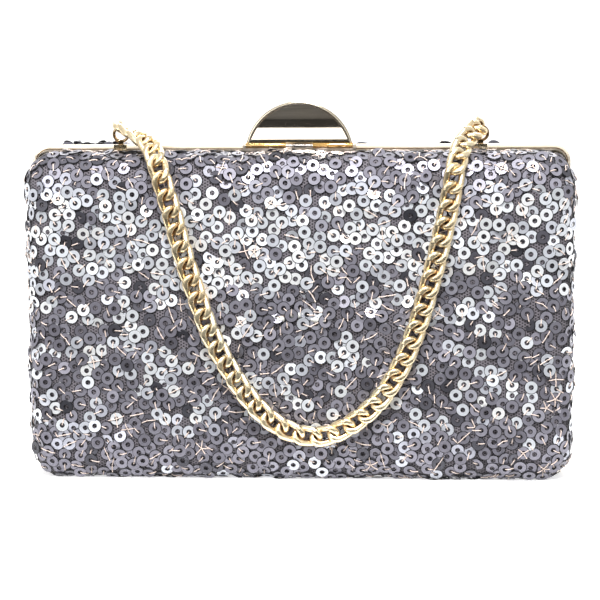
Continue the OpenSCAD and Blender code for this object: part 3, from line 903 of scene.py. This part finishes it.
def washers(centres, firsts, seconds, normals):
    """Points and faces of flat rings with sloping edges, all made at once.

    Each has four loops: the top's rim, the top's hole, the bottom's hole and the bottom's rim."""
    angles = np.arange(SEQUIN_SIDES) * 2 * math.pi / SEQUIN_SIDES
    cos, sin = np.cos(angles)[None, :, None], np.sin(angles)[None, :, None]
    spokes = cos * firsts[:, None, :] + sin * seconds[:, None, :]
    middle, lift = centres[:, None, :], normals[:, None, :] * SEQUIN_T
    loops = [middle + (SEQUIN_R - BEVEL) * spokes + lift, middle + (HOLE_R + BEVEL / 2) * spokes + lift,
             middle + HOLE_R * spokes, middle + SEQUIN_R * spokes]
    verts = np.stack(loops, axis=1).reshape(-1, 3)
    one = []
    for ring_i in range(4):
        ring_j = (ring_i + 1) % 4
        for k in range(SEQUIN_SIDES):
            m = (k + 1) % SEQUIN_SIDES
            one.append((ring_i * SEQUIN_SIDES + k, ring_i * SEQUIN_SIDES + m,
                        ring_j * SEQUIN_SIDES + m, ring_j * SEQUIN_SIDES + k))
    per = 4 * SEQUIN_SIDES
    faces = (np.array(one)[None] + (np.arange(len(centres)) * per)[:, None, None]).reshape(-1, 4)
    return verts, faces


# ---------- stitches ----------

THREAD_R = 0.2
THREAD_SIDES = 5
ARCH = 0.22               # how high a stitch stands above the sequin
SUNK = 0.15               # how far its ends go down
UNSEEN = 0.38             # share of the sequins whose stitch doesn't show
PAIRS_FROM, STARS_FROM = 0.88, 0.975   # from these draws on there are two stitches, or a star of them


def stitch(start, end, normal):
    """One visible stitch: a thread that comes up, lies across, and goes down again."""
    span = end - start
    path = [start - SUNK * normal, start + 0.18 * span + ARCH * normal,
            start + 0.6 * span + ARCH * normal, end - SUNK * normal]
    return tube(path, THREAD_R, THREAD_SIDES)


def sew(places, tops, rng):
    """Threads from a sequin's hole to just past its rim, and a few stars of them."""
    parts = []
    for (first, second, normal), top in zip(places, tops):
        draw = rng.random()
        if draw < UNSEEN:
            continue
        spokes = 1
        if draw > STARS_FROM:
            spokes = rng.choice((3, 4, 5))
        elif draw > PAIRS_FROM:
            spokes = 2
        turn = rng.uniform(0, 2 * math.pi)
        for k in range(spokes):
            a = turn + (2 * math.pi * k / spokes if spokes > 1 else 0) + rng.uniform(-0.25, 0.25)
            way = math.cos(a) * first + math.sin(a) * second
            reach = rng.uniform(2.3, 3.3)
            parts.append(stitch(top + 0.1 * way, top + reach * way, normal))
    return join(parts)


# ---------- sequins and stitches on each half ----------

CLASP_HALF = 22.0         # a little more than half the width of the clasp
FLAT_LAYERS = 2           # sequins under the clasp and under the bag lie in no higher layer
FIRST_LAYER = 0.12        # height of the lowest sequins above the cover
STANDING = ((-92, -66), (19, 26), (52, 56), (63, 78))   # where the rear half's top sequins stand up
STANDING_UP = 1.0
PARTED = 32.0             # each half's sequins are three pieces, parted this far from the middle
BANDS = (("left", -math.inf, -PARTED), ("middle", -PARTED, PARTED), ("right", PARTED, math.inf))


def keep_off_table(verts):
    """Lifts what would come too near to the table."""
    verts[:, 2] = np.maximum(verts[:, 2], TABLE_GAP)
    return verts


def make_sequins(half, body, rear):
    """The sequins of one half in three pieces, and its stitches in one."""
    rng = random.Random(f"sequins of the {half}")
    places = scatter(COVER, COVER_NORMALS, rng)
    layers = pile(places)
    centres, axes, tones_and_painted_light, tops = [], [], [], []
    for (point, normal), layer in zip(places, layers):
        under_clasp = abs(point[0]) < CLASP_HALF and normal[2] > 0.3
        under_bag = normal[2] < -0.6
        height = FIRST_LAYER + LAYER * (min(layer, FLAT_LAYERS) if under_clasp or under_bag else layer)
        # Each sequin's lightness, with its painted glints and painted shade.
        tone_and_painted_light = tone_and_painted_light_of(point, rng) * painted_shade_at(point, normal)
        standing = rear and normal[2] > 0.9 and rng.random() < 0.75 and any(
            low < point[0] < high for low, high in STANDING)
        # A standing sequin is painted near black, as the shade it stands in behind the frame.
        if standing:
            tone_and_painted_light = rng.uniform(*BLACK)
            height += STANDING_UP
        axis = sequin_axes(normal, rng, standing)
        centres.append(point + normal * height)
        axes.append(axis)
        tones_and_painted_light.append(tone_and_painted_light)
        tops.append(point + normal * (height + SEQUIN_T))
    centres, axes, tones_and_painted_light = np.array(centres), np.array(axes), np.array(tones_and_painted_light)
    for band, low, high in BANDS:
        chosen = (centres[:, 0] >= low) & (centres[:, 0] < high)
        verts, faces = washers(centres[chosen], *axes[chosen].transpose(1, 0, 2))
        verts = keep_off_table(verts)
        piece = mesh_piece(f"{half}_sequins_{band}", facing(verts, rear), flip_faces(faces.tolist(), rear),
                           FOIL, smooth=False)
        # Each sequin's lightness, partly painted reflection and painted shade, for the foil to read.
        add_attribute(piece, "tone_and_painted_light", "POINT", np.repeat(tones_and_painted_light[chosen], 4 * SEQUIN_SIDES))
        # The sloped faces take painted shade as dark outlines.
        sloped = np.repeat([0.0, 1.0, 0.0, 1.0], SEQUIN_SIDES)
        add_attribute(piece, "rim", "FACE", np.tile(sloped, chosen.sum()))
        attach(piece, body)
    verts, faces = sew(axes, tops, rng)
    verts = keep_off_table(np.array(verts))
    threads = mesh_piece(half + "_stitches", facing(verts, rear), flip_faces(faces, rear), THREAD)
    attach(threads, body)


for half_args in HALVES:
    make_sequins(*half_args)


# ---------- metalwork ----------

SCOOP_R = 34.0            # the half-moon's scooped face, and where its axis runs
SCOOP_IN_FRONT = 1.25     # from the front of the rail to the scoop's deepest line
SCOOP_Y, SCOOP_Z = RAIL_Y - SCOOP_IN_FRONT - SCOOP_R, 131.8
SCOOP_FIT = 0.1           # faces this near to the scoop's cylinder belong to it
BARREL_TOP = 124.4
LOOP_X, LOOP_Y, LOOP_Z = ROUTE[-1]     # the top of the right ring, where the chain ends
RING_R, RING_WIRE, RING_N_SIDES = 2.65, 0.58, 36
FOOT_HALF = 1.0
FOOT_BACK = 1.6           # the foot's plate reaches this far behind the ring
PLATE_T = 0.4
TAB_HALF, TAB_DROP = 2.4, 1.9


def bevelled(node, body, material, width, segments=2):
    """A copy of a CAD solid with its edges rounded, in the CAD solid's place."""
    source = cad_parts[node]
    mesh = source.data.copy()
    mesh.materials.clear()
    mesh.materials.append(material)
    mesh.polygons.foreach_set("material_index", [0] * len(mesh.polygons))
    mesh.transform(source.matrix_world)
    solid = bmesh.new()
    solid.from_mesh(mesh)
    bmesh.ops.remove_doubles(solid, verts=solid.verts, dist=1e-6)
    bmesh.ops.dissolve_limit(solid, angle_limit=math.radians(0.5), verts=solid.verts, edges=solid.edges)
    solid.to_mesh(mesh)
    solid.free()
    piece = bpy.data.objects.new(node + "_finish", mesh)
    bpy.context.scene.collection.objects.link(piece)
    edge = piece.modifiers.new("edges", "BEVEL")
    edge.width = width * MM
    edge.segments = segments
    edge.angle_limit = math.radians(40)
    edge.use_clamp_overlap = True
    bpy.ops.object.select_all(action="DESELECT")
    piece.select_set(True)
    bpy.context.view_layer.objects.active = piece
    bpy.ops.object.modifier_apply(modifier=edge.name)
    smooth_by_angle(piece, 40)
    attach(piece, body)
    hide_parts(node)
    return piece


def finish_half_moon(piece):
    """The half-moon: a mirror in the scoop, a satin bead painted darker as painted shade, and a barrel
    painted orange-gold as a painted reflection.

    The scoop is shaded as the true cylinder that it is cut to."""
    mesh = piece.data
    mesh.materials.append(BEAD)
    mesh.materials.append(BARREL)
    axis = Vector((0, SCOOP_Y, SCOOP_Z)) * MM
    normals = [corner.vector.copy() for corner in mesh.corner_normals]
    for face in mesh.polygons:
        towards = axis - face.center
        towards.x = 0
        off_scoop = abs(towards.length / MM - SCOOP_R) > SCOOP_FIT
        if off_scoop or face.normal.dot(towards.normalized()) < 0.998:
            face.material_index = 2 if face.center.z < BARREL_TOP * MM else 1
            continue
        for loop in face.loop_indices:
            towards = axis - mesh.vertices[mesh.loops[loop].vertex_index].co
            towards.x = 0
            normals[loop] = towards.normalized()
    mesh.normals_split_custom_set(normals)


def finish(node, material):
    """Gives a CAD solid that keeps its own shape its metal or board."""
    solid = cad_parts[node]
    solid.data.materials.clear()
    solid.data.materials.append(material)


def block(low, high):
    """Points and faces of a box between two corners."""
    corners = [(x, y, z) for z in (low[2], high[2])
               for x, y in ((low[0], low[1]), (high[0], low[1]), (high[0], high[1]), (low[0], high[1]))]
    sides = [(k, (k + 1) % 4, 4 + (k + 1) % 4, 4 + k) for k in range(4)]
    return corners, [(3, 2, 1, 0), (4, 5, 6, 7)] + sides


def make_ring(loop_side, x):
    """The loop that the chain hangs from: a round ring on a foot, painted dark as the reflection of dark
    surroundings.

    The foot's gold plate laps over the front rail as a small tab."""
    angles = np.linspace(0, 2 * math.pi, RING_N_SIDES + 1)[:-1]
    ring = [(x + RING_R * math.sin(a), LOOP_Y, LOOP_Z - RING_R + RING_R * math.cos(a)) for a in angles]
    foot_top = LOOP_Z - 2 * RING_R + 0.2
    tab_front = RAIL_Y - PLATE_T
    foot = block((x - FOOT_HALF, LOOP_Y - 0.9, FRAME_TOP + 0.3), (x + FOOT_HALF, LOOP_Y + 0.9, foot_top))
    plate = block((x - TAB_HALF, tab_front, FRAME_TOP + 0.02),
                  (x + TAB_HALF, LOOP_Y + FOOT_BACK, FRAME_TOP + PLATE_T + 0.05))
    tab = block((x - TAB_HALF, tab_front, FRAME_TOP - TAB_DROP),
                (x + TAB_HALF, RAIL_Y - 0.03, FRAME_TOP + 0.1))
    verts, faces = join([tube(ring, RING_WIRE, 16, closed=True), foot, plate, tab])
    piece = mesh_piece("chain_ring_" + loop_side, verts, faces, RING_PAINTED_DARK)
    piece.data.materials.append(GOLD)
    gold_faces = len(plate[1]) + len(tab[1])
    for face in list(piece.data.polygons)[-gold_faces:]:
        face.material_index = 1
    smooth_by_angle(piece, 35)
    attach(piece, "front_half")
    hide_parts("chain_loop_" + loop_side)


bevelled("front_frame", "front_half", RAIL, 0.25)
bevelled("rear_frame", "rear_half", RAIL, 0.25)
bevelled("latch_bracket", "front_half", CHAMPAGNE, 0.1)
bevelled("latch_hook", "latch_lever", CHAMPAGNE, 0.12)
bevelled("catch_plate", "rear_half", CHAMPAGNE, 0.08)
finish_half_moon(bevelled("latch_tab", "latch_lever", MIRROR, 0.12))
for loop_side, loop_x in (("left", -LOOP_X), ("right", LOOP_X)):
    make_ring(loop_side, loop_x)
    bevelled("hinge_leaf_front_" + loop_side, "front_half", HINGE, 0.06)
    bevelled("hinge_leaf_rear_" + loop_side, "rear_half", HINGE, 0.06)
    finish("hinge_pin_" + loop_side, STEEL)
for rivets in ("hinge_rivets_front", "hinge_rivets_rear", "catch_rivets", "latch_rivets"):
    finish(rivets, CHAMPAGNE)
finish("latch_pin", STEEL)
finish("latch_spring", STEEL)
finish("front_shell", BOARD)
finish("rear_shell", BOARD)


# ---------- floor and light ----------

def paper_material(name, dark, light, glow=0.0):
    """Studio paper with a faint grain."""
    material, nodes, links, shader = node_material(name)
    tint(nodes, links, shader, noise(nodes, links, 40, 2),
         [(0.3, (dark, dark, dark)), (0.7, (light, light, light))])
    shader.inputs["Roughness"].default_value = 0.9
    shader.inputs["Emission Color"].default_value = (1, 1, 1, 1)
    shader.inputs["Emission Strength"].default_value = glow
    return material


# Sizes and places of the studio are in metres.
SWEEP_FRONT, SWEEP_BACK, SWEEP_R = -2.5, 1.6, 0.8
SWEEP_TOP, SWEEP_HALF = 4.0, 3.5
CARD_HALF = 1.2


def soft_floor():
    """A pale sweep that curves up behind the bag."""
    rows = [(SWEEP_FRONT, 0), (SWEEP_BACK, 0)]
    rows += [(SWEEP_BACK + SWEEP_R * math.sin(a), SWEEP_R - SWEEP_R * math.cos(a))
             for a in np.linspace(0, math.pi / 2, 17)[1:]]
    rows.append((SWEEP_BACK + SWEEP_R, SWEEP_TOP))
    verts = [(x / MM, y / MM, z / MM) for y, z in rows for x in (-SWEEP_HALF, SWEEP_HALF)]
    faces = [(2 * i, 2 * i + 1, 2 * i + 3, 2 * i + 2) for i in range(len(rows) - 1)]
    sweep = mesh_piece("sweep", verts, faces, paper_material("pale_paper", 0.9, 0.93, 0.55))
    sweep.visible_diffuse = False


def card(name, near, far, paper):
    """A wide card between two lines. It only shows in reflections, to give the metal its contrast."""
    corners = [(x / MM, y / MM, z / MM) for y, z in (near, far) for x in (-CARD_HALF, CARD_HALF)]
    sheet = mesh_piece(name, corners, [(0, 1, 3, 2)], paper)
    sheet.visible_camera = False
    sheet.visible_diffuse = False
    sheet.visible_shadow = False


def area_light(name, place, target, size, power):
    """A rectangular lamp turned towards a target."""
    data = bpy.data.lights.new(name, "AREA")
    data.shape = "RECTANGLE"
    data.size, data.size_y = size
    data.energy = power
    light = bpy.data.objects.new(name, data)
    bpy.context.scene.collection.objects.link(light)
    light.location = place
    light.rotation_euler = (Vector(target) - Vector(place)).to_track_quat("-Z", "Y").to_euler()


def make_world():
    """Even studio white, a little dimmer from below."""
    world = bpy.data.worlds.new("studio")
    bpy.context.scene.world = world
    world.use_nodes = True
    nodes, links = world.node_tree.nodes, world.node_tree.links
    coords = nodes.new("ShaderNodeTexCoord")
    parts = nodes.new("ShaderNodeSeparateXYZ")
    links.new(coords.outputs["Generated"], parts.inputs[0])
    sky = ramp(nodes, [(0.0, (0.5, 0.5, 0.5)), (0.45, (0.9, 0.9, 0.9)), (0.6, (1, 1, 1))])
    rise = nodes.new("ShaderNodeMapRange")
    rise.inputs["From Min"].default_value = -1
    links.new(parts.outputs["Z"], rise.inputs["Value"])
    links.new(rise.outputs["Result"], sky.inputs["Fac"])
    links.new(sky.outputs["Color"], nodes["Background"].inputs["Color"])
    nodes["Background"].inputs["Strength"].default_value = 0.68


bpy.context.scene.view_settings.view_transform = "Standard"
BLACK_CARD = paper_material("black_card", 0.004, 0.03)
WHITE_CARD = paper_material("white_card", 0.9, 0.93, 1.5)
soft_floor()
make_world()
card("floor_card", (-0.06, 0.004), (-1.2, 0.004), BLACK_CARD)
card("low_card", (-1.2, 0.004), (-1.2, 0.22), BLACK_CARD)
card("white_card", (-1.19, 0.22), (-1.19, 0.513), WHITE_CARD)
card("high_card", (-1.2, 0.513), (-1.2, 0.7), BLACK_CARD)
area_light("key", (0.06, -0.65, 1.0), (0, 0, 0.06), (0.3, 0.3), 18)
area_light("fill", (-0.9, -1.1, 0.6), (0, 0, 0.06), (0.6, 0.6), 5)
area_light("back", (0, 1.0, 0.9), (0, 0, 0.1), (1.2, 0.6), 8)
